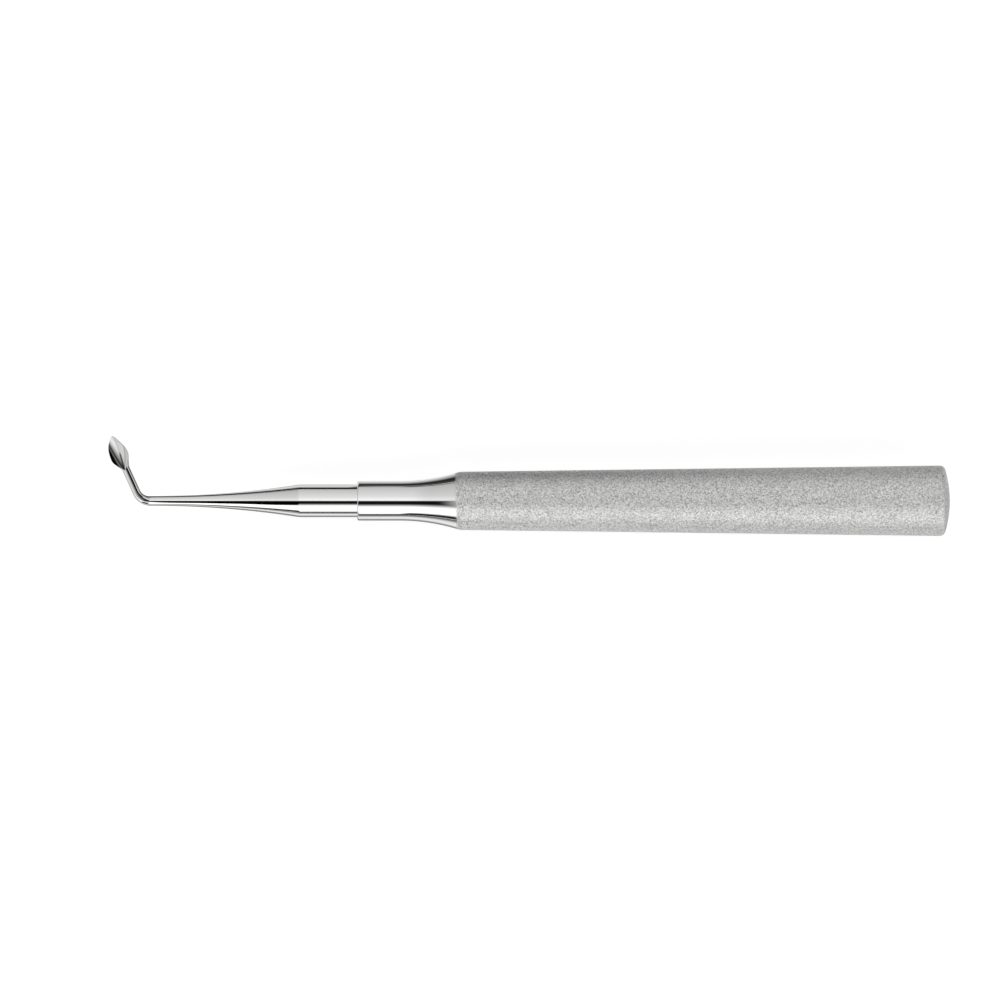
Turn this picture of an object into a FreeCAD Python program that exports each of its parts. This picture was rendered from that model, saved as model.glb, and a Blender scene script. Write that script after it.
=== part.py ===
import FreeCAD, Part
import math
import os

# Hand instrument with one bent working end and a large conical handle.
# Millimetres. It is drawn along its own axis first and laid down at the end.
# Own frame: x along the axis, 0 at the handle's lip and growing to the butt,
# y the way the tip bends, z the way the ground face of the blade looks.

# Working end: tang, barrel, trumpet taper and thin shank, all round
barrel_radius = 3.2
barrel_length = 11.45
tang_length = 7.6
tang_chamfer = 0.4
taper_length = 29.15
shank_length = 0.1
shank_radius = 0.965

# Bend: the shank turns through this angle and thins on the way to the blade
bend_angle = 66.1
bend_radius = 2.8
arm_length = 5.41
arm_start_radius = 0.84
arm_end_radius = 0.79

# Blade: a leaf with a rounded back, along the arm from its heel to its tip
blade_length = 7.42
belly_from_heel = 2.75
belly_half_width = 1.83
shoulder_radius = 2.3
shoulder_turn = 28.0
leaf_radius = 7.3
tip_radius = 0.5
side_shift = 0.03
tip_thickness = 0.2

# Ground face: two hollow facets left by one wheel with a ridged rim
face_turn = 18.8
wheel_radius = 14.0
wheel_low_point = 5.7
wheel_run_out = 0.6
wheel_yaw = 3.5
wheel_shift = -0.13
hollow_radius = 4.2
hollow_offset = 0.45
wheel_half_width = 2.9

# Handle: thin closed shell with a plain neck, a flare and a long cone
handle_length = 116.0
tang_gap = 0.02
wall = 0.65
lip_round = 0.28
neck_length = 8.15
flare_radius = 39.5
flare_corner_radius = 2.5
cone_start_radius = 5.7
butt_radius = 6.93
butt_corner_radius = 1.2
butt_dome_radius = 22.0
butt_wall = 1.2

os.makedirs("parts", exist_ok=True)
Vector = FreeCAD.Vector


def line(a, b):
    return Part.makeLine(a, b)


def arc(a, middle, b):
    return Part.Arc(a, middle, b).toShape()


def bulged_arc(a, b, radius):
    """Arc in the xy plane from a to b that bulges to the right of that way."""
    chord = b - a
    sag = radius - math.sqrt(radius * radius - (chord.Length / 2) ** 2)
    side = Vector(chord.y, -chord.x, 0).normalize()
    return arc(a, (a + b) * 0.5 + side * sag, b)


def fillet_points(a, corner, b, radius):
    """Ends and middle of the round that joins the two straights at a corner."""
    back = (a - corner).normalize()
    on = (b - corner).normalize()
    half = back.getAngle(on) / 2
    reach = radius / math.tan(half)
    bisector = (back + on).normalize()
    middle = corner + bisector * (radius / math.sin(half) - radius)
    return corner + back * reach, middle, corner + on * reach


def turned(edges):
    """Solid made by turning a closed outline round the instrument's axis."""
    face = Part.Face(Part.Wire(edges))
    return face.revolve(Vector(0, 0, 0), Vector(1, 0, 0), 360)


# Shank, barrel and tang, turned in one outline
taper_arc_radius = (
    (taper_length ** 2 + (barrel_radius - shank_radius) ** 2)
    / (2 * (barrel_radius - shank_radius))
)
taper_end_x = -barrel_length - taper_length
bend_start_x = taper_end_x - shank_length
rod = [
    Vector(bend_start_x, 0, 0),
    Vector(bend_start_x, shank_radius, 0),
    Vector(taper_end_x, shank_radius, 0),
    Vector(-barrel_length, barrel_radius, 0),
    Vector(tang_length - tang_chamfer, barrel_radius, 0),
    Vector(tang_length, barrel_radius - tang_chamfer, 0),
    Vector(tang_length, 0, 0),
]
rod_edges = [line(rod[0], rod[1]), line(rod[1], rod[2])]
rod_edges.append(bulged_arc(rod[2], rod[3], taper_arc_radius))
rod_edges += [line(a, b) for a, b in zip(rod[3:], rod[4:] + rod[:1])]
rod_solid = turned(rod_edges)

# Bend and arm: rings along the centre line
turn = math.radians(bend_angle)
arm_way = Vector(-math.cos(turn), math.sin(turn), 0)
arm_side = Vector(math.sin(turn), math.cos(turn), 0)
bend_reach = bend_radius * math.tan(turn / 2)
arm_start = Vector(bend_start_x - bend_reach, 0, 0) + arm_way * bend_reach
heel_point = arm_start + arm_way * arm_length


def ring(centre, way, radius):
    return Part.Wire(Part.Circle(centre, way, radius).toShape())


bend_steps = 6
rings = []
for step in range(bend_steps + 1):
    part_turn = turn * step / bend_steps
    way = Vector(-math.cos(part_turn), math.sin(part_turn), 0)
    outward = Vector(-math.sin(part_turn), -math.cos(part_turn), 0)
    centre = Vector(bend_start_x, bend_radius, 0) + outward * bend_radius
    radius = shank_radius + (arm_start_radius - shank_radius) * step / bend_steps
    rings.append(ring(centre, way, radius))
bend_solid = Part.makeLoft(rings, True)
arm_solid = Part.makeCone(
    arm_start_radius, arm_end_radius, arm_length, arm_start, arm_way
)


def half_width(t):
    """Half the width of the leaf at distance t from the heel."""
    if t >= belly_from_heel:
        round_start = blade_length - tip_radius
        leaf = belly_half_width - leaf_radius + math.sqrt(
            max(leaf_radius ** 2 - (t - belly_from_heel) ** 2, 0)
        )
        if t > round_start:
            cap = math.sqrt(max(tip_radius ** 2 - (t - round_start) ** 2, 0))
            leaf = min(leaf, cap)
        return max(leaf, 0.05)
    straight_turn = math.radians(shoulder_turn)
    shoulder_reach = shoulder_radius * math.sin(straight_turn)
    before = belly_from_heel - t
    if before <= shoulder_reach:
        drop = shoulder_radius - math.sqrt(shoulder_radius ** 2 - before ** 2)
    else:
        drop = shoulder_radius * (1 - math.cos(straight_turn))
        drop += (before - shoulder_reach) * math.tan(straight_turn)
    return max(belly_half_width - drop, arm_end_radius)


def wheel_depth(t):
    """Height of the line where the two facets meet."""
    run_out = (wheel_low_point + wheel_run_out) ** 2
    return arm_end_radius + ((t - wheel_low_point) ** 2 - run_out) / (2 * wheel_radius)


def facet_height(half):
    """Height of a facet's outer edge above the line where the facets meet."""
    centre_height = math.sqrt(hollow_radius ** 2 - hollow_offset ** 2)
    return centre_height - math.sqrt(hollow_radius ** 2 - (half + hollow_offset) ** 2)


# Blade blank: round sections whose lower side is the blade's back. It is
# drawn in its own frame, x to the right, y out of the face, z away from the tip.
blank_rings = []
stations = 9
back_rise = (wheel_depth(blade_length) - tip_thickness + arm_end_radius) / blade_length
for step in range(stations + 1):
    t = blade_length * (1 - math.cos(math.pi * step / stations)) / 2
    half = half_width(t)
    back = -arm_end_radius + back_rise * t
    thickness = wheel_depth(t) + facet_height(half) - back
    sag = min(max(thickness, tip_thickness), half)
    radius = (half ** 2 + sag ** 2) / (2 * sag)
    lean = side_shift * (1 - (1 - t / blade_length) ** 4)
    centre = Vector(lean, back + radius, -t)
    blank_rings.append(ring(centre, Vector(0, 0, 1), radius))
blank = Part.makeLoft(blank_rings, True)

# Wheel: its rim is two arcs that cross at a ridge, turned round its axle
ridge_height = math.sqrt(hollow_radius ** 2 - hollow_offset ** 2)
rim_height = ridge_height - math.sqrt(
    hollow_radius ** 2 - (wheel_half_width + hollow_offset) ** 2
)
axle = wheel_depth(wheel_low_point) + wheel_radius
rim_edges = []
for side in (-1, 1):
    arc_centre_x = -side * hollow_offset
    outer = Vector(side * wheel_half_width, -wheel_radius + rim_height, 0)
    ridge = Vector(0, -wheel_radius, 0)
    middle_x = side * wheel_half_width / 2
    middle_y = ridge_height - math.sqrt(
        hollow_radius ** 2 - (middle_x - arc_centre_x) ** 2
    )
    middle = Vector(middle_x, -wheel_radius + middle_y, 0)
    hub = Vector(side * wheel_half_width, -wheel_radius * 0.4, 0)
    rim_edges.append(arc(outer, middle, ridge))
    rim_edges.append(line(outer, hub))
rim_edges.append(
    line(
        Vector(-wheel_half_width, -wheel_radius * 0.4, 0),
        Vector(wheel_half_width, -wheel_radius * 0.4, 0),
    )
)
rim_wire = Part.Wire(Part.sortEdges(rim_edges)[0])
wheel = Part.Face(rim_wire).revolve(Vector(0, 0, 0), Vector(1, 0, 0), 360)
wheel.rotate(Vector(0, 0, 0), Vector(0, 1, 0), -wheel_yaw)
yaw_shift = wheel_shift + math.tan(math.radians(wheel_yaw)) * wheel_low_point
wheel.translate(Vector(yaw_shift, axle, -wheel_low_point))

# The blade's frame, turned about the arm so that the face looks aside
blade_frame = FreeCAD.Placement(
    heel_point,
    FreeCAD.Rotation(arm_side, Vector(0, 0, 1), -arm_way, "ZXY"),
)
aside = FreeCAD.Placement(
    Vector(0, 0, 0), FreeCAD.Rotation(Vector(0, 0, 1), face_turn)
)
for shape in (blank, wheel):
    shape.Placement = blade_frame.multiply(aside).multiply(shape.Placement)

working_end = rod_solid.fuse([bend_solid, arm_solid, blank]).cut(wheel)
working_end = working_end.removeSplitter()

# Handle: a full form outside, and the same lines moved inward by the wall
neck_radius = barrel_radius + tang_gap + wall
flare_rise = cone_start_radius - neck_radius
flare_length = math.sqrt(2 * flare_radius * flare_rise - flare_rise ** 2)
flare_slope = flare_length / (flare_radius - flare_rise)
flare_end_x = neck_length + flare_length
cone_slope = (butt_radius - cone_start_radius) / (handle_length - flare_end_x)

neck_start = Vector(lip_round, neck_radius, 0)
lip_low = Vector(0, neck_radius - lip_round, 0)
lip_inset = lip_round * (1 - math.sqrt(0.5))
lip_middle = Vector(lip_inset, neck_radius - lip_inset, 0)
flare_start = Vector(neck_length, neck_radius, 0)
flare_end = Vector(flare_end_x, cone_start_radius, 0)
rim = Vector(handle_length, butt_radius, 0)
cone_way = (rim - flare_end).normalize()
inward = Vector(cone_way.y, -cone_way.x, 0)

flare_last, corner_middle, cone_first = fillet_points(
    flare_end - Vector(1, flare_slope, 0), flare_end, rim, flare_corner_radius
)

# The butt's round edge touches the cone and the dome
dome_centre = Vector(handle_length - butt_dome_radius, 0, 0)
edge_line = rim + inward * butt_corner_radius
to_dome = edge_line - dome_centre
reach = butt_dome_radius - butt_corner_radius
along = to_dome.dot(cone_way) - math.sqrt(
    reach ** 2 - to_dome.Length ** 2 + to_dome.dot(cone_way) ** 2
)
edge_centre = edge_line - cone_way * along
edge_first = edge_centre - inward * butt_corner_radius
outward = (edge_centre - dome_centre).normalize()
edge_last = edge_centre + outward * butt_corner_radius
edge_middle = edge_centre + (outward - inward).normalize() * butt_corner_radius
pole = Vector(handle_length, 0, 0)
dome_way = (outward + Vector(1, 0, 0)).normalize()
axis_start = Vector(0, 0, 0)

outside = turned([
    line(axis_start, lip_low),
    arc(lip_low, lip_middle, neck_start),
    line(neck_start, flare_start),
    bulged_arc(flare_start, flare_last, flare_radius),
    arc(flare_last, corner_middle, cone_first),
    line(cone_first, edge_first),
    arc(edge_first, edge_middle, edge_last),
    arc(edge_last, dome_centre + dome_way * butt_dome_radius, pole),
    line(pole, axis_start),
])

sink = Vector(0, -wall, 0)
bore_start = Vector(-1, neck_radius, 0) + sink
inner_rim = rim - cone_way * butt_wall + sink
inner_pole = Vector(inner_rim.x, 0, 0)
inside_points = [inner_rim, inner_pole, Vector(-1, 0, 0), bore_start]
inside_edges = [bulged_arc(flare_start + sink, flare_end + sink, flare_radius)]
inside_edges += [
    line(a, b)
    for a, b in zip([flare_end + sink] + inside_points, inside_points + [flare_start + sink])
]
inside = turned(inside_edges)
handle = outside.cut(inside)

# Lay it down: the cone's lowest line and the blade both touch z = 0
cone_angle = math.atan(cone_slope)


def laid(shape, roll):
    """The shape with the tip dipped by roll below the level, cone line level."""
    copy = shape.copy()
    copy.rotate(Vector(0, 0, 0), Vector(1, 0, 0), -roll)
    copy.rotate(Vector(0, 0, 0), Vector(0, 1, 0), -math.degrees(cone_angle))
    return copy


def lowest(shape):
    return shape.optimalBoundingBox(False, False).ZMin


blade_only = blank.cut(wheel)
cone_low = lowest(laid(outside, 0))
low_roll = 0.0
high_roll = 60.0
for repeat in range(24):
    roll = (low_roll + high_roll) / 2
    if lowest(laid(blade_only, roll)) > cone_low:
        low_roll = roll
    else:
        high_roll = roll

pieces = {
    "working_end": laid(working_end, low_roll),
    "handle": laid(handle, low_roll),
}
whole = Part.makeCompound(list(pieces.values())).optimalBoundingBox(False, False)
shift = Vector(
    -(whole.XMin + whole.XMax) / 2, -(whole.YMin + whole.YMax) / 2, -cone_low
)
for node, shape in pieces.items():
    shape.translate(shift)
    shape.exportStep("parts/" + node + ".step")
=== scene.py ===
import math

import bpy
import numpy as np
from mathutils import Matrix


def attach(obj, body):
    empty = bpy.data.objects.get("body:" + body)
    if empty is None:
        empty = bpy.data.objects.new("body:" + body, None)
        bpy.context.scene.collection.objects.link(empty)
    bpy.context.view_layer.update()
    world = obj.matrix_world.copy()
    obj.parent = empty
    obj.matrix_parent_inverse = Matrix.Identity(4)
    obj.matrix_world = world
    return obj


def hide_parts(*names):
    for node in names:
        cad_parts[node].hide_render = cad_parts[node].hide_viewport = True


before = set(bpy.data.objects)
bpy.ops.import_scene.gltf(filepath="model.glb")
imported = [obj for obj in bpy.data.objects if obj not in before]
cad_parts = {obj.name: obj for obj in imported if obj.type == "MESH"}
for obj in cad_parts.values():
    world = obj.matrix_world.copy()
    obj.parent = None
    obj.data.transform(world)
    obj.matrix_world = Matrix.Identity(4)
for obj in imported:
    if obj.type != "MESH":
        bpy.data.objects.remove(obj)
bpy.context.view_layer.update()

# Millimetres to metres
mm = 0.001

# Sizes in millimetres, with the same names as in the CAD
barrel_radius = 3.2
barrel_length = 11.45
tang_length = 7.6
tang_chamfer = 0.4
taper_length = 29.15
shank_length = 0.1
shank_radius = 0.965

bend_angle = math.radians(66.1)
bend_radius = 2.8
arm_length = 5.41
arm_start_radius = 0.84
arm_end_radius = 0.79

blade_length = 7.42
belly_from_heel = 2.75
belly_half_width = 1.83
shoulder_radius = 2.3
shoulder_turn = math.radians(28.0)
leaf_radius = 7.3
tip_radius = 0.5
side_shift = 0.03
tip_thickness = 0.2

face_turn = math.radians(18.8)
wheel_radius = 14.0
wheel_low_point = 5.7
wheel_run_out = 0.6
wheel_yaw = math.radians(3.5)
wheel_shift = -0.13
hollow_radius = 4.2
hollow_offset = 0.45

handle_length = 116.0
wall = 0.65
lip_round = 0.28
neck_radius = 3.87
neck_length = 8.15
flare_radius = 39.5
flare_corner_radius = 2.5
cone_start_radius = 5.7
butt_radius = 6.93
butt_corner_radius = 1.2
butt_dome_radius = 22.0
butt_wall = 1.2

# Sizes without a name of their own in the CAD
bore_radius = 3.22
taper_corner_radius = 2.2
tip_half_width = 0.05

# Only here, not in the CAD: how round the corner between the arm and the heel is
heel_softness = 0.05

# How the instrument lies: the lip's centre, and the turn about its own axis until the tip touches
# the floor
lip_centre = np.array([-33.558476, -2.886137, 5.442782])
rest_roll = math.radians(18.0515)

# Fineness of the meshes: points round the back, points across a facet, points round the handle
back_steps = 160
facet_steps = 36
handle_steps = 224
# Rows along the taper, the bend, the arm and the flare, outside and inside
taper_rows = 90
bend_rows = 57
arm_rows = 24
flare_rows = 46
inner_flare_rows = 16
# Rows of the blade: the first and the last half millimetre are closer
blade_end_reach = 0.5
heel_rows = 22
tip_rows = 26
blade_row_step = 0.055

# Looking for the place where the wheel starts to cut
edge_samples = 2881
halvings = 30
least_radius = 1e-6

# Painted shade, for dark reflections: darkening of the groove, far from and near the heel, and of
# the two edges
groove_far = 0.22
groove_more_near = 0.74
groove_fade_end = 3.9
groove_fade_length = 0.8
groove_width = 0.2
right_edge_painted_shade, right_edge_width = 0.55, 0.16
left_edge_painted_shade, left_edge_width = 0.25, 0.1


# Lines that are turned round the axis
def arc_points(centre, radius, first, last, step_degrees):
    """Points on a circle between two angles, in degrees."""
    count = max(2, int(math.ceil(abs(last - first) / step_degrees)) + 1)
    angles = np.radians(np.linspace(first, last, count))
    return [(centre[0] + radius * math.cos(a), centre[1] + radius * math.sin(a)) for a in angles]


def straight_points(a, b, near, middle):
    """A straight with a point close to each end, so that the rounds beside it don't tilt its
    shading, and the others about middle apart."""
    a, b = np.array(a, float), np.array(b, float)
    length = np.linalg.norm(b - a)
    way = (b - a) / length
    near = min(near, length / 4)
    count = max(2, int((length - 2 * near) / middle) + 1)
    return [tuple(a + way * s) for s in np.linspace(near, length - near, count)]


def rounded_corner(a, corner, b, radius, step_degrees):
    """Points of the round that joins two straights at a corner."""
    a, corner, b = (np.array(p, float) for p in (a, corner, b))
    back = (a - corner) / np.linalg.norm(a - corner)
    on = (b - corner) / np.linalg.norm(b - corner)
    half = math.acos(float(np.clip(back @ on, -1, 1))) / 2
    reach = radius / math.tan(half)
    bisector = (back + on) / np.linalg.norm(back + on)
    centre = corner + bisector * (radius / math.sin(half))
    first = corner + back * reach - centre
    last = corner + on * reach - centre
    first_angle = math.degrees(math.atan2(first[1], first[0]))
    last_angle = math.degrees(math.atan2(last[1], last[0]))
    if last_angle - first_angle > 180:
        last_angle -= 360
    if last_angle - first_angle < -180:
        last_angle += 360
    return arc_points(centre, radius, first_angle, last_angle, step_degrees)


# The blade, in its own frame: t is the distance from the heel, x goes across the face
def half_width(t):
    """Half the width of the leaf."""
    if t >= belly_from_heel:
        round_start = blade_length - tip_radius
        leaf = belly_half_width - leaf_radius
        leaf += math.sqrt(max(leaf_radius ** 2 - (t - belly_from_heel) ** 2, 0))
        if t > round_start:
            leaf = min(leaf, math.sqrt(max(tip_radius ** 2 - (t - round_start) ** 2, 0)))
        return max(leaf, tip_half_width)
    reach = shoulder_radius * math.sin(shoulder_turn)
    before = belly_from_heel - t
    if before <= reach:
        drop = shoulder_radius - math.sqrt(shoulder_radius ** 2 - before ** 2)
    else:
        drop = shoulder_radius * (1 - math.cos(shoulder_turn))
        drop += (before - reach) * math.tan(shoulder_turn)
    over = belly_half_width - drop - arm_end_radius
    return arm_end_radius + (over + math.sqrt(over ** 2 + heel_softness ** 2)) / 2


def wheel_depth(t):
    """Height of the line where the two facets meet."""
    run_out = (wheel_low_point + wheel_run_out) ** 2
    return arm_end_radius + ((t - wheel_low_point) ** 2 - run_out) / (2 * wheel_radius)


def facet_height(half):
    """Height of a facet above the line where the facets meet."""
    ridge = math.sqrt(hollow_radius ** 2 - hollow_offset ** 2)
    return ridge - np.sqrt(np.maximum(hollow_radius ** 2 - (half + hollow_offset) ** 2, 0))


back_rise = (wheel_depth(blade_length) - tip_thickness + arm_end_radius) / blade_length
axle_height = wheel_depth(wheel_low_point) + wheel_radius
axle_side = wheel_shift + math.tan(wheel_yaw) * wheel_low_point


def blank_circle(t):
    """Centre and radius of the round section of the arm or the blade."""
    if t <= 0:
        thinner = (arm_start_radius - arm_end_radius) / arm_length
        return 0.0, 0.0, arm_end_radius - thinner * t
    half = half_width(t)
    back = -arm_end_radius + back_rise * t
    thickness = wheel_depth(t) + float(facet_height(half)) - back
    sag = min(max(thickness, tip_thickness), half)
    radius = (half ** 2 + sag ** 2) / (2 * sag)
    lean = side_shift * (1 - (1 - t / blade_length) ** 4)
    return lean, back + radius, radius


def face_height(x, t):
    """Height of the ground face."""
    dx, dz = x - axle_side, wheel_low_point - t
    across = dx * math.cos(wheel_yaw) + dz * math.sin(wheel_yaw)
    along = -dx * math.sin(wheel_yaw) + dz * math.cos(wheel_yaw)
    rim = wheel_radius - facet_height(np.abs(across))
    return axle_height - np.sqrt(rim ** 2 - along ** 2)


def valley_place(t):
    """Where the two facets meet."""
    return axle_side - (wheel_low_point - t) * math.tan(wheel_yaw)


def edge_angle(t, side):
    """Angle round the blank, from its back, at which the wheel starts to cut it. None where it
    doesn't."""
    cx, cy, radius = blank_circle(t)

    def above(angle):
        x = cx + side * radius * np.sin(angle)
        return face_height(x, t) - (cy - radius * np.cos(angle))

    angles = np.linspace(0, 2 * math.pi, edge_samples)
    below = np.nonzero(above(angles) < 0)[0]
    if len(below) == 0:
        return None
    low, high = angles[below[0] - 1], angles[below[0]]
    for _ in range(halvings):
        middle = (low + high) / 2
        if above(middle) < 0:
            high = middle
        else:
            low = middle
    return side * low


def run_out_point():
    """Where the ground face runs out on the arm."""
    low, high = -2.0, 1.0
    for _ in range(halvings):
        middle = (low + high) / 2
        if edge_angle(middle, 1) is None:
            low = middle
        else:
            high = middle
    return high


def face_shade(x, t, x_left, meet, x_right):
    """Painted shade on the ground face: 1 leaves the steel's colour as it is, lower paints a dark
    reflection into it.
    """
    near_heel = float(np.clip((groove_fade_end - t) / groove_fade_length, 0, 1))
    groove = groove_far + groove_more_near * near_heel
    # Painted shade: a dark line along the groove and along each edge, for dark reflections
    groove = groove * np.exp(-((x - meet) / groove_width) ** 2)
    edges = right_edge_painted_shade * np.exp(-((x_right - x) / right_edge_width) ** 2)
    edges += left_edge_painted_shade * np.exp(-((x - x_left) / left_edge_width) ** 2)
    return 1 - np.maximum(groove, edges)


# From the instrument's own frame to the floor
upright = np.array([0.0, 1.0, 0.0])
up_way = np.array([0.0, 0.0, 1.0])
arm_way = np.array([-math.cos(bend_angle), math.sin(bend_angle), 0.0])
arm_side = np.array([math.sin(bend_angle), math.cos(bend_angle), 0.0])
bend_start = -barrel_length - taper_length - shank_length
bend_reach = bend_radius * math.tan(bend_angle / 2)
arm_start = np.array([bend_start - bend_reach, 0, 0]) + arm_way * bend_reach
heel_point = arm_start + arm_way * arm_length

flare_rise = cone_start_radius - neck_radius
flare_length = math.sqrt(2 * flare_radius * flare_rise - flare_rise ** 2)
flare_end = (neck_length + flare_length, cone_start_radius)
cone_angle = math.atan((butt_radius - cone_start_radius) / (handle_length - flare_end[0]))


def laid_down(points):
    """Points of the instrument's own frame, in millimetres, as they lie on the floor, in metres."""
    p = np.asarray(points, float)
    c, s = math.cos(rest_roll), math.sin(rest_roll)
    y = p[:, 1] * c + p[:, 2] * s
    z = -p[:, 1] * s + p[:, 2] * c
    c, s = math.cos(cone_angle), math.sin(cone_angle)
    x = p[:, 0] * c - z * s
    z = p[:, 0] * s + z * c
    return (np.stack([x, y, z], 1) + lip_centre) * mm


# Meshes
def make_object(name, points, faces, sharp, material, shade=None):
    """A smooth object with some sharp edges, and the painted shade of each point where it is given.
    """
    mesh = bpy.data.meshes.new(name)
    mesh.from_pydata([tuple(p) for p in laid_down(points)], [], faces)
    mesh.update()
    mesh.polygons.foreach_set("use_smooth", [True] * len(mesh.polygons))
    marks = mesh.attributes.new("sharp_edge", "BOOLEAN", "EDGE")
    ends = np.zeros(len(mesh.edges) * 2, int)
    mesh.edges.foreach_get("vertices", ends)
    pairs = np.sort(ends.reshape(-1, 2), 1)
    marks.data.foreach_set("value", [(int(a), int(b)) in sharp for a, b in pairs])
    if shade is not None:
        mesh.attributes.new("shade", "FLOAT", "POINT").data.foreach_set("value", shade)
    mesh.materials.append(material)
    thing = bpy.data.objects.new(name, mesh)
    bpy.context.scene.collection.objects.link(thing)
    return thing


def joined_rings(a, b):
    """Faces between two closed rings of as many points. A point that is named twice in a face is
    taken once, so rings may shrink."""
    count = len(a)
    faces = []
    for k in range(count):
        n = (k + 1) % count
        face = list(dict.fromkeys((a[k], a[n], b[n], b[k])))
        if len(face) > 2:
            faces.append(face)
    return faces


def ring_edges(ring):
    """Edges along a closed ring, each as a sorted pair of points."""
    return {tuple(sorted(pair)) for pair in zip(ring, ring[1:] + ring[:1])}


def turned_mesh(profile, steps, sharp_at):
    """Points, faces and sharp edges of a line turned round the axis."""
    angles = np.linspace(0, 2 * math.pi, steps, endpoint=False)
    points, rings = [], []
    for x, radius in profile:
        if radius < least_radius:
            rings.append([len(points)] * steps)
            points.append((x, 0.0, 0.0))
            continue
        rings.append(list(range(len(points), len(points) + steps)))
        points += [(x, radius * math.sin(a), radius * math.cos(a)) for a in angles]
    faces = [face for a, b in zip(rings, rings[1:]) for face in joined_rings(a, b)]
    # The first corner decides along which diagonal a face is split
    faces = [face[1:] + face[:1] for face in faces]
    sharp = set().union(*(ring_edges(rings[index]) for index in sharp_at))
    return points, faces, sharp


def barrel_profile():
    """Tang, barrel and trumpet taper, as places along the axis with their radius."""
    after_corner = 0.1
    thick = barrel_radius - shank_radius
    taper_arc = (taper_length ** 2 + thick ** 2) / (2 * thick)
    thin_x = -barrel_length - taper_length
    slope = math.degrees(math.asin(taper_length / taper_arc))
    corner = (-barrel_length, barrel_radius)
    on_taper = (-barrel_length - 1.0, barrel_radius - math.tan(math.radians(slope)))
    corner_round = rounded_corner(
        (0, barrel_radius), corner, on_taper, taper_corner_radius, step_degrees=1.0
    )
    profile = [(tang_length, barrel_radius - tang_chamfer)]
    profile += [(tang_length - tang_chamfer, barrel_radius)]
    profile += straight_points(profile[-1], corner_round[0], near=0.08, middle=1.5)
    profile += corner_round
    for x in np.linspace(corner_round[-1][0] - after_corner, thin_x, taper_rows):
        drop = math.sqrt(taper_arc ** 2 - (x - thin_x) ** 2)
        profile.append((x, shank_radius + taper_arc - drop))
    return profile


def blade_rows(run_out):
    """Where the rows of the blade lie, from the place where the face runs out to the tip."""
    gap_before, gap_after = 0.04, 0.02
    near = run_out + blade_end_reach * (np.arange(1, heel_rows + 1) / heel_rows) ** 2
    last = blade_length - blade_end_reach
    middle = np.arange(near[-1] + gap_before, last - gap_after, blade_row_step)
    end = 1 - np.arange(0, tip_rows + 1) / tip_rows
    return np.concatenate([near, middle, blade_length - blade_end_reach * end ** 2])


def working_end_mesh():
    """Points, faces, sharp edges and painted shade of the working end, from the tang to the tip."""
    points, rings = [], []
    run_out = run_out_point()
    first = edge_angle(run_out, 1)
    round_angles = np.linspace(first, first - 2 * math.pi, back_steps + 1)[:-1] + face_turn

    def add_round(centre, sideways, radius):
        """A closed ring of the round part. Its facets have no width yet."""
        x, y = radius * np.sin(round_angles), -radius * np.cos(round_angles)
        start = len(points)
        points.extend(np.array(centre) + x[:, None] * sideways + y[:, None] * up_way)
        rings.append(list(range(start, start + back_steps)) + [start] * (2 * facet_steps))

    for x, radius in barrel_profile():
        add_round((x, 0, 0), upright, radius)

    # Bend and arm
    for share in np.linspace(0, 1, bend_rows):
        turn = bend_angle * share
        sideways = np.array([math.sin(turn), math.cos(turn), 0.0])
        centre = np.array([bend_start, bend_radius, 0.0]) - bend_radius * sideways
        add_round(centre, sideways, shank_radius + (arm_start_radius - shank_radius) * share)
    for along in np.linspace(0, arm_length + run_out, arm_rows)[1:]:
        radius = blank_circle(along - arm_length)[2]
        add_round(arm_start + arm_way * along, arm_side, radius)
    last_round = len(rings) - 1

    # Blade: the rounded back and the two hollow facets
    shade = {}
    for t in blade_rows(run_out):
        right, left = edge_angle(t, 1), edge_angle(t, -1)
        if right is None or left is None or right - left >= 2 * math.pi:
            continue
        cx, cy, radius = blank_circle(t)
        angles = np.linspace(right, left, back_steps + 1)
        x, y = cx + radius * np.sin(angles), cy - radius * np.cos(angles)
        x_right, x_left = x[0], x[-1]
        meet = min(max(valley_place(t), x_left), x_right)
        from_left = np.linspace(x_left, meet, facet_steps + 1)[1:]
        to_right = np.linspace(meet, x_right, facet_steps + 1)[1:-1]
        x = np.concatenate([x, from_left, to_right])
        y = np.concatenate([y, face_height(from_left, t), face_height(to_right, t)])
        start = len(points)
        sideways = x * math.cos(face_turn) - y * math.sin(face_turn)
        outward = x * math.sin(face_turn) + y * math.cos(face_turn)
        places = sideways[:, None] * arm_side + outward[:, None] * up_way
        points.extend(heel_point + places + t * arm_way)
        ring = list(range(start, start + len(x)))
        face = slice(back_steps + 1, None)
        # Painted shade of the face's points: dark reflections painted along the groove and the
        # edges
        shade.update(zip(ring[face], face_shade(x[face], t, x_left, meet, x_right)))
        if x_right - meet < least_radius:
            for k in range(back_steps + facet_steps, len(ring)):
                ring[k] = ring[0]
        if meet - x_left < least_radius:
            for k in range(back_steps + 1, back_steps + facet_steps + 1):
                ring[k] = ring[back_steps]
        rings.append(ring)

    # Sharp edges: the tang's chamfer, the leaf's two edges and the line where the facets meet
    sharp = ring_edges(rings[0][:back_steps]) | ring_edges(rings[1][:back_steps])
    for a, b in zip(rings[last_round:], rings[last_round + 1:]):
        for k in (0, back_steps, back_steps + facet_steps):
            if a[k] != b[k]:
                sharp.add(tuple(sorted((a[k], b[k]))))

    faces = [rings[0][:back_steps][::-1]]
    for a, b in zip(rings, rings[1:]):
        faces += joined_rings(a, b)
    faces.append(list(dict.fromkeys(rings[-1])))
    used = sorted({v for face in faces for v in face})
    place = {v: i for i, v in enumerate(used)}
    points = np.array(points)[used]
    faces = [[place[v] for v in face] for face in faces]
    sharp = {tuple(sorted((place[a], place[b]))) for a, b in sharp if a in place and b in place}
    return points, faces, sharp, [shade.get(v, 1.0) for v in used]


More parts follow.
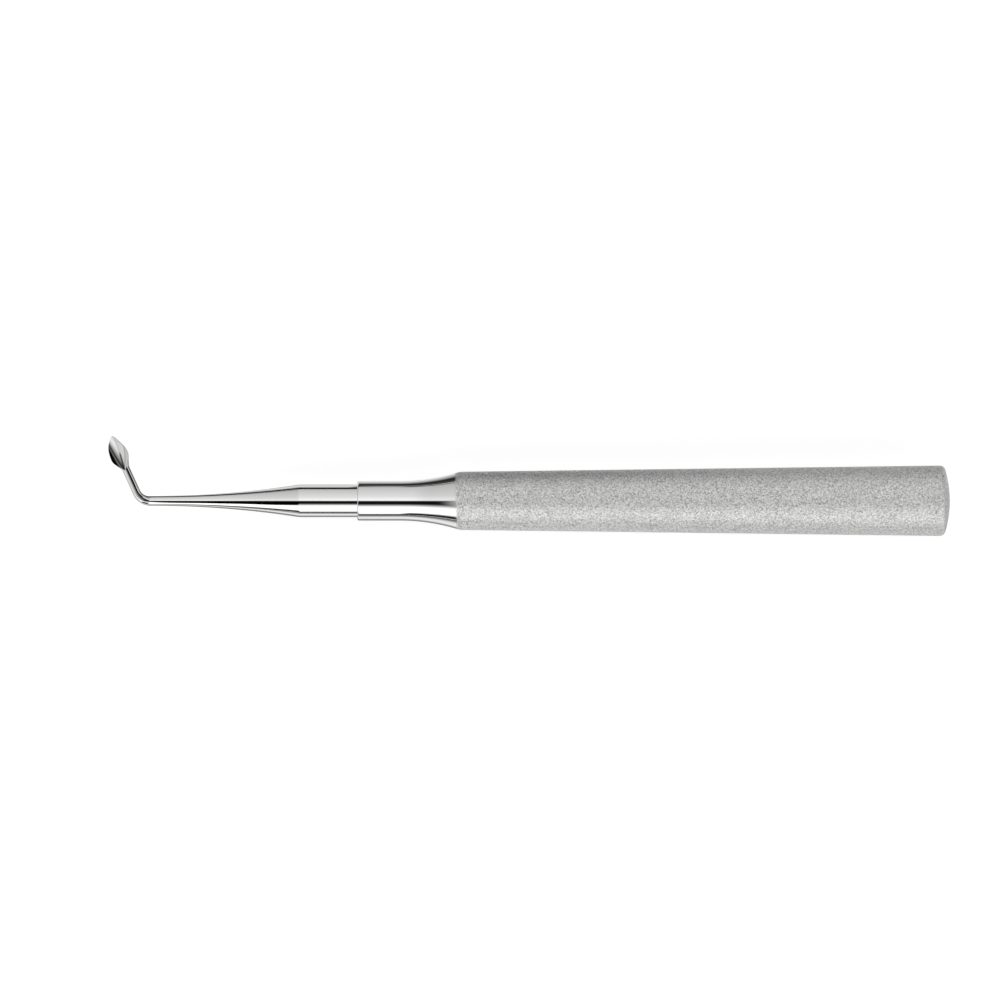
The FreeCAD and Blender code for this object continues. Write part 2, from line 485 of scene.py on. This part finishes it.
def flare_profile(first, last, rows, inward=0.0):
    """The flare between two places along the axis, moved inward by so much."""
    profile = []
    for x in np.linspace(first, last, rows):
        drop = math.sqrt(flare_radius ** 2 - (x - neck_length) ** 2)
        profile.append((x, neck_radius - inward + flare_radius - drop))
    return profile


def handle_mesh():
    """Points, faces and sharp edges of the hollow handle."""
    rim = (handle_length, butt_radius)
    cone_way = np.array([rim[0] - flare_end[0], rim[1] - flare_end[1]])
    cone_way /= np.linalg.norm(cone_way)
    inward = np.array([cone_way[1], -cone_way[0]])
    slope = flare_length / (flare_radius - flare_rise)
    before = (flare_end[0] - 1, flare_end[1] - slope)
    corner = rounded_corner(before, flare_end, rim, flare_corner_radius, step_degrees=1.0)

    # The butt's round edge touches the cone and the dome
    dome = np.array([handle_length - butt_dome_radius, 0.0])
    edge_line = np.array(rim) + inward * butt_corner_radius
    to_dome = edge_line - dome
    reach = butt_dome_radius - butt_corner_radius
    way_back = math.sqrt(reach ** 2 - to_dome @ to_dome + (to_dome @ cone_way) ** 2)
    edge_centre = edge_line - cone_way * (to_dome @ cone_way - way_back)
    outward = edge_centre - dome
    first = math.degrees(math.atan2(-inward[1], -inward[0]))
    last = math.degrees(math.atan2(outward[1], outward[0]))
    edge = arc_points(edge_centre, butt_corner_radius, first, last, step_degrees=3.0)

    # Outside, from the bore over the lip, the neck and the cone to the middle of the butt
    lip_top = neck_radius - lip_round
    after_bore, before_round, before_corner = 0.06, 0.04, 0.05
    profile = [(0.0, bore_radius), (0.0, bore_radius + after_bore), (0.0, lip_top - before_round)]
    profile += arc_points((lip_round, lip_top), lip_round, 180, 90, step_degrees=4.0)
    profile += straight_points(profile[-1], (neck_length, neck_radius), near=0.05, middle=1.0)
    profile += flare_profile(neck_length, corner[0][0] - before_corner, flare_rows)
    profile += corner
    profile += straight_points(corner[-1], edge[0], near=0.06, middle=2.5) + edge
    profile += arc_points(dome, butt_dome_radius, last, 0.0, step_degrees=1.2)[1:-1]
    profile += [(handle_length, 0.0)]
    points, faces, sharp = turned_mesh(profile, handle_steps, sharp_at=(0,))

    # Inside, the same lines moved inward by the wall, and back to the bore
    inner_rim = np.array(rim) - cone_way * butt_wall - np.array([0, wall])
    inner = [(inner_rim[0], 0.0), tuple(inner_rim), (flare_end[0], flare_end[1] - wall)]
    after_cone = 0.5
    inner += flare_profile(flare_end[0] - after_cone, neck_length, inner_flare_rows, wall)
    inner += [(0.0, bore_radius)]
    inner_points, inner_faces, inner_sharp = turned_mesh(inner, handle_steps, sharp_at=(1, 2))

    # The last inner ring is the first outer one
    shift = len(points)
    last_ring = len(inner_points) - handle_steps

    def joined(v):
        return v - last_ring if v >= last_ring else v + shift

    points += inner_points[:last_ring]
    faces += [[joined(v) for v in face] for face in inner_faces]
    sharp |= {tuple(sorted((joined(a), joined(b)))) for a, b in inner_sharp}
    return points, faces, sharp


# Materials and light
class Graph:
    """A node tree, with short calls for the nodes that the materials and the light need."""

    def __init__(self, tree):
        self.nodes, self.links = tree.nodes, tree.links

    def feed(self, socket, value):
        """Links another node's output to a socket, or sets it to a number or colour."""
        if isinstance(value, bpy.types.NodeSocket):
            self.links.new(value, socket)
        else:
            socket.default_value = value

    def add(self, kind, inputs=None, **settings):
        """A new node, with its settings and its inputs by name or number."""
        node = self.nodes.new(kind)
        for name, value in settings.items():
            setattr(node, name, value)
        for name, value in (inputs or {}).items():
            self.feed(node.inputs[name], value)
        return node

    def maths(self, operation, a, b=0.0):
        return self.add("ShaderNodeMath", {0: a, 1: b}, operation=operation).outputs[0]

    def product(self, *factors):
        result = factors[0]
        for factor in factors[1:]:
            result = self.maths("MULTIPLY", result, factor)
        return result

    def rest_of_one(self, value):
        return self.maths("SUBTRACT", 1.0, value)

    def rise(self, value, first, last, low=0.0, high=1.0, kind="SMOOTHSTEP"):
        """Goes from low to high while the value goes from first to last."""
        inputs = {
            "Value": value, "From Min": first, "From Max": last, "To Min": low, "To Max": high,
        }
        node = self.add("ShaderNodeMapRange", inputs, interpolation_type=kind, clamp=True)
        return node.outputs["Result"]

    def mix(self, factor, a, b, kind):
        """A mix of two colours (RGBA) or two numbers (FLOAT)."""
        inputs = {"Factor": factor, "A": a, "B": b}
        return self.add("ShaderNodeMix", inputs, data_type=kind).outputs["Result"]

    def place(self):
        return self.add("ShaderNodeTexCoord").outputs["Object"]

    def stepped(self, distance, steps):
        """Brightness from a list of steps: distance in millimetres, brightness."""
        first, last = steps[0][0], steps[-1][0]
        share = self.rise(distance, first * mm, last * mm, kind="LINEAR")
        ramp = self.add("ShaderNodeValToRGB", {"Fac": share})
        stops = ramp.color_ramp.elements
        while len(stops) < len(steps):
            stops.new(0.5)
        for stop, (place, brightness) in zip(stops, steps):
            stop.position = (place - first) / (last - first)
            stop.color = (brightness, brightness, brightness, 1)
        return ramp.outputs["Color"]


def new_material(name):
    """A material, its graph and its shader."""
    material = bpy.data.materials.new(name)
    material.use_nodes = True
    graph = Graph(material.node_tree)
    return material, graph, graph.nodes["Principled BSDF"]


def polished_steel():
    """Mirror polish with the faint unevenness of hand buffing. The painted shade, dark reflections
    along the groove and the leaf's edges, darkens its colour.
    """
    black, bright = (0.0, 0.0, 0.0, 1), (0.86, 0.86, 0.85, 1)
    least_rough, most_rough = 0.04, 0.09
    material, graph, shader = new_material("polished_steel")
    shader.inputs["Metallic"].default_value = 1.0
    # The painted shade darkens the colour where dark reflections are painted
    shade = graph.add("ShaderNodeAttribute", attribute_name="shade").outputs["Fac"]
    graph.feed(shader.inputs["Base Color"], graph.mix(shade, black, bright, "RGBA"))
    inputs = {"Vector": graph.place(), "Scale": 900.0, "Detail": 4.0}
    marks = graph.add("ShaderNodeTexNoise", inputs).outputs["Fac"]
    roughness = graph.rise(marks, 0.0, 1.0, least_rough, most_rough, "LINEAR")
    graph.feed(shader.inputs["Roughness"], roughness)
    inputs = {"Height": marks, "Strength": 0.05, "Distance": 0.05 * mm}
    polish = graph.add("ShaderNodeBump", inputs)
    graph.feed(shader.inputs["Normal"], polish.outputs["Normal"])
    return material


def handle_steel():
    """Polished neck and blasted grip. Every small crater of the blasting has its own brightness."""
    neck_colour, neck_roughness = (0.86, 0.86, 0.855, 1), 0.06
    darkest, brightest = (0.24, 0.24, 0.24, 1), (1.0, 1.0, 0.99, 1)
    mostly_bright = 0.6
    least_rough, most_rough = 0.5, 0.66
    # The blasting starts here, in metres from the lip, and the masking was a little slanted
    blasting_start = (0.0190, 0.0198)
    masking_slant = 0.04

    material, graph, shader = new_material("handle_steel")
    shader.inputs["Metallic"].default_value = 1.0
    place = graph.place()
    from_lip = graph.add(
        "ShaderNodeVectorMath", {0: place, 1: tuple(lip_centre * mm)}, operation="SUBTRACT"
    ).outputs["Vector"]
    way = (math.cos(cone_angle), masking_slant, math.sin(cone_angle))
    along = graph.add("ShaderNodeVectorMath", {0: from_lip, 1: way}, operation="DOT_PRODUCT")
    blasted = graph.rise(along.outputs["Value"], *blasting_start)

    craters = graph.add("ShaderNodeTexVoronoi", {"Vector": place, "Scale": 6500.0})
    grain = graph.add("ShaderNodeSeparateColor", {"Color": craters.outputs["Color"]})
    bright = graph.maths("POWER", grain.outputs["Red"], mostly_bright)
    speckle = graph.mix(bright, darkest, brightest, "RGBA")
    colour = graph.mix(blasted, neck_colour, speckle, "RGBA")
    graph.feed(shader.inputs["Base Color"], colour)
    grip_roughness = graph.rise(
        grain.outputs["Green"], 0.0, 1.0, least_rough, most_rough, "LINEAR"
    )
    roughness = graph.mix(blasted, neck_roughness, grip_roughness, "FLOAT")
    graph.feed(shader.inputs["Roughness"], roughness)
    inputs = {"Height": craters.outputs["Distance"], "Strength": blasted, "Distance": 0.03 * mm}
    bump = graph.add("ShaderNodeBump", inputs)
    graph.feed(shader.inputs["Normal"], bump.outputs["Normal"])
    return material


steel = polished_steel()
grip = handle_steel()
points, faces, sharp, shade = working_end_mesh()
working_end = make_object("working_end_detailed", points, faces, sharp, steel, shade)
handle = make_object("handle_detailed", *handle_mesh(), grip)
for piece, node, slot in (
    (working_end, "working_end", "polished_steel"),
    (handle, "handle", "blasted_steel"),
):
    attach(piece, "root")
    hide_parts(node)


# Floor and camera
def flat_object(name, corners, material):
    mesh = bpy.data.meshes.new(name)
    mesh.from_pydata(corners, [], [range(len(corners))])
    mesh.materials.append(material)
    thing = bpy.data.objects.new(name, mesh)
    bpy.context.scene.collection.objects.link(thing)
    return thing


def square(half_side, height):
    signs = ((-1, -1), (1, -1), (1, 1), (-1, 1))
    return [(x * half_side, y * half_side, height) for x, y in signs]


pale, _, shader = new_material("pale_floor")
shader.inputs["Base Color"].default_value = (0.6, 0.6, 0.6, 1)
shader.inputs["Roughness"].default_value = 0.9
shader.inputs["Specular IOR Level"].default_value = 0.0
shader.inputs["Emission Color"].default_value = (1, 1, 1, 1)
shader.inputs["Emission Strength"].default_value = 0.65
flat_object("floor", square(3.0, 0.0), pale)

# Millimetres to a pixel of the photograph, its size, and where it shows the lip's centre
pixel = 0.19585
picture_size = 1000
lip_pixel = (357.5, 500.8)
middle_height = 0.006
camera_data = bpy.data.cameras.new("camera")
camera_data.lens = 1000.0
camera_data.sensor_width = 36.0
camera_distance = picture_size * pixel * mm / camera_data.sensor_width * camera_data.lens
camera = bpy.data.objects.new("camera", camera_data)
half_picture = picture_size / 2
to_middle = ((half_picture - lip_pixel[0]) * pixel, (lip_pixel[1] - half_picture) * pixel)
aim = (lip_centre[:2] + np.array(to_middle)) * mm
camera.location = (aim[0], aim[1], middle_height + camera_distance)
bpy.context.scene.collection.objects.link(camera)
bpy.context.scene.camera = camera


# Studio light: a soft bank on each side of the instrument, with a dark gap over it. Each line says
# from where to where the light changes, and from what to what, or else from nothing to all.
# Across the instrument, in degrees from the zenith, positive towards +y:
front_top = (-17.0, -45.0)
front_foot = (-88.5, -76.0)
back_top = (-3.2, 2.2)
back_strength = (5.0, 30.0, 1.05, 0.82)
back_fading = (30.0, 88.0, 1.0, 0.7)
back_foot = (92.5, 85.5, 0.05, 1.0)
# Towards the tip, as the share of the direction that goes to +x. The banks' feet are lifted there,
# by some degrees and at the back by a part of them, and a light at the tip's end closes the gap
feet_lifted = (-0.01, -0.12, 0.0, 8.0)
back_lift = 0.4
front_at_tip = (-0.12, -0.4, 1.55, 1.35)
back_at_tip = (-0.12, -0.32, 1.0, 0.86)
both_at_tip = (-0.45, -0.9, 1.0, 0.84)
end_light = (-0.4, -0.7)
# Upwards, as the share of the direction that goes up
end_light_upwards = (0.0, 0.2, 0.38, 0.74)
gap_light = 0.006


def bank_light(graph):
    """Brightness of the studio in every direction."""
    way = graph.add("ShaderNodeTexCoord").outputs["Generated"]
    to_right, to_back, to_sky = graph.add("ShaderNodeSeparateXYZ", {0: way}).outputs
    across = graph.product(graph.maths("ARCTAN2", to_back, to_sky), 180 / math.pi)
    lifted = graph.rise(to_right, *feet_lifted)
    front = graph.product(
        graph.rise(across, *front_top),
        graph.rise(graph.maths("SUBTRACT", across, lifted), *front_foot),
        graph.rise(to_right, *front_at_tip),
    )
    back = graph.product(
        graph.rise(across, *back_top),
        graph.rise(across, *back_strength),
        graph.rise(across, *back_fading, "LINEAR"),
        graph.rise(to_right, *back_at_tip),
        graph.rise(graph.maths("ADD", across, graph.product(lifted, back_lift)), *back_foot),
    )
    both = graph.product(graph.maths("ADD", front, back), graph.rise(to_right, *both_at_tip))
    end = graph.product(graph.rise(to_right, *end_light), graph.rise(to_sky, *end_light_upwards))
    return graph.maths("ADD", graph.maths("MAXIMUM", both, end), gap_light)


world = bpy.data.worlds.new("studio")
bpy.context.scene.world = world
world.use_nodes = True
graph = Graph(world.node_tree)
graph.nodes.clear()
white, backdrop_colour = (1, 1, 1, 1), (0.93, 0.93, 0.93, 1)
inputs = {"Color": white, "Strength": bank_light(graph)}
studio = graph.add("ShaderNodeBackground", inputs).outputs[0]
backdrop = graph.add("ShaderNodeBackground", {"Color": backdrop_colour}).outputs[0]
seen = graph.add("ShaderNodeLightPath").outputs["Is Camera Ray"]
blend = graph.add("ShaderNodeMixShader", {0: seen, 1: studio, 2: backdrop}).outputs[0]
graph.add("ShaderNodeOutputWorld", {"Surface": blend})


# Cards that only reflections see, as a photographer puts them beside polished steel
def reflection_card(name, corners, brightness):
    """A flat card. The last argument is a function of the graph and a point's place."""
    card, graph, _ = new_material(name)
    graph.nodes.clear()
    x, y, z = graph.add("ShaderNodeSeparateXYZ", {0: graph.place()}).outputs
    glow = graph.add("ShaderNodeEmission", {"Strength": brightness(graph, x, y, z)})
    graph.add("ShaderNodeOutputMaterial", {"Surface": glow.outputs[0]})
    thing = flat_object(name, corners, card)
    for ray in ("camera", "diffuse", "shadow", "transmission", "volume_scatter"):
        setattr(thing, "visible_" + ray, False)


# Brightness of the card on the floor at each distance from the instrument's axis
floor_steps = (
    (-160, 0.22), (-66, 0.08), (-36, 0.42), (-20, 0.93), (-13, 0.95), (-8.5, 0.25), (0, 0.25),
    (7, 0.88), (13, 0.4), (20, 0.02), (36, 0.02), (66, 0.17), (160, 0.4),
)
# Each line says from where to where the card changes along the instrument, or away from its axis,
# in metres, and from what to what. The first three stretch the distances that the steps use
behind_barrel = (-0.033, -0.036, 1.0, 0.62)
behind_shank = (-0.045, -0.070, 1.0, 2.6)
before_shank = (-0.045, -0.065, 1.0, 0.75)
# One even brightness instead of the bands
plain_under_blade = (-0.074, -0.079)
plain_along_grip = (0.0, 0.06, 0.0, 0.4)
plain_brightness = 0.64
# Darker far behind the working end
shadow_along = (-0.033, -0.036)
shadow_away = (0.024, 0.030, 0.0, 0.85)
# Darker on the inner side of the bend
bend_first = (-0.066, -0.073)
bend_last = (-0.081, -0.077)
bend_away = (0.001, 0.004, 0.0, 0.35)


def floor_card(graph, x, y, z):
    """Bands along the instrument."""
    from_axis = graph.maths("SUBTRACT", y, lip_centre[1] * mm)
    stretch = graph.product(graph.rise(x, *behind_barrel), graph.rise(x, *behind_shank))
    behind = graph.product(graph.maths("MAXIMUM", from_axis, 0.0), stretch)
    before = graph.product(graph.maths("MINIMUM", from_axis, 0.0), graph.rise(x, *before_shank))
    plain = graph.maths(
        "MAXIMUM", graph.rise(x, *plain_under_blade), graph.rise(x, *plain_along_grip)
    )
    shadow = graph.product(graph.rise(x, *shadow_along), graph.rise(from_axis, *shadow_away))
    inside_bend = graph.product(
        graph.rise(x, *bend_first), graph.rise(x, *bend_last), graph.rise(from_axis, *bend_away)
    )
    banded = graph.product(
        graph.stepped(graph.maths("ADD", behind, before), floor_steps),
        graph.rest_of_one(plain),
        graph.rest_of_one(shadow),
    )
    bright = graph.maths("ADD", banded, graph.product(plain, plain_brightness))
    return graph.product(bright, graph.rest_of_one(inside_bend))


floor_card_reach, floor_card_height = 1.2, 0.0002
reflection_card("floor_card", square(floor_card_reach, floor_card_height), floor_card)

# The card beside the blade goes from white to black along a slanted line
blade_card_slant = 1.1
blade_steps = (
    (-116, 1.0), (-109, 0.9), (-106.6, 0.82), (-104.4, 0.74), (-102.1, 0.56), (-100.6, 0.42),
    (-98.9, 0.28), (-97.4, 0.15), (-96.3, 0.02), (-95.1, 0.02), (-94, 0.2), (-92.9, 0.12),
    (-92, 0.0), (-85, 0.0),
)
blade_corners = [
    (-0.092, 0.020, 0.003), (-0.0762, 0.020, 0.003), (-0.0762, 0.020, 0.027),
    (-0.092, 0.020, 0.027),
]


def blade_card(graph, x, y, z):
    slanted = graph.maths("SUBTRACT", x, graph.product(z, blade_card_slant))
    return graph.stepped(slanted, blade_steps)


reflection_card("blade_card", blade_corners, blade_card)

# The card in front of the bend is black, and turns white towards the shank
bend_fade = (-0.0865, -0.0775)
bend_corners = [
    (-0.107, -0.040, 0.008), (-0.0775, -0.040, 0.008), (-0.0775, -0.040, 0.044),
    (-0.107, -0.040, 0.036),
]


def bend_card(graph, x, y, z):
    return graph.rise(x, *bend_fade)


reflection_card("bend_card", bend_corners, bend_card)

# A black strip lies over the taper and the thin shank
strip_height = 22
strip = [
    (-46, -5.5), (-56, -5.0), (-62, -5.8), (-68, -5.5), (-73, -4.4), (-75.4, -3.6), (-75.6, -8),
    (-74.4, -14), (-73.3, -18.5), (-72, -21), (-70.5, -21.5), (-68, -20.5), (-64, -18.7),
    (-60, -16.5), (-55.7, -15.6), (-49, -10.8), (-46, -8.0),
]


def strip_card(graph, x, y, z):
    return graph.product(x, 0.0)


reflection_card(
    "strip_card", [(x * mm, y * mm, strip_height * mm) for x, y in strip], strip_card
)

# A low strip lies beside the bend and the arm: black next to the arm, brighter away from it
low_strip_height = 7.3
away_from_arm = (0.914, 0.405)
low_strip_steps = (
    (-77, 0.8), (-74.8, 0.78), (-73.3, 0.62), (-72.3, 0.46), (-71.5, 0.3), (-70.8, 0.13),
    (-70.1, 0.03), (-69.3, 0.0), (-60, 0.0),
)
low_strip = [
    (-74.4, -2.7), (-75.0, -1.9), (-75.4, -1.3), (-75.65, -0.6), (-75.5, 0.5), (-75.0, 1.7),
    (-74.5, 3.6), (-73.9, 7.4), (-73.9, 9.3), (-75, 11), (-80, 10.5), (-85.5, 5.5), (-84.7, 3.8),
    (-83.5, 2.5), (-81.4, 0.2), (-79.9, -1.9), (-79.0, -3.0), (-77.3, -3.3), (-75.9, -3.0),
    (-75.3, -3.4), (-74.3, -3.5),
]


def low_strip_card(graph, x, y, z):
    along_x, along_y = graph.product(x, away_from_arm[0]), graph.product(y, away_from_arm[1])
    return graph.stepped(graph.maths("ADD", along_x, along_y), low_strip_steps)


reflection_card(
    "low_strip_card",
    [(x * mm, y * mm, low_strip_height * mm) for x, y in low_strip],
    low_strip_card,
)

bpy.context.scene.view_settings.view_transform = "Standard"
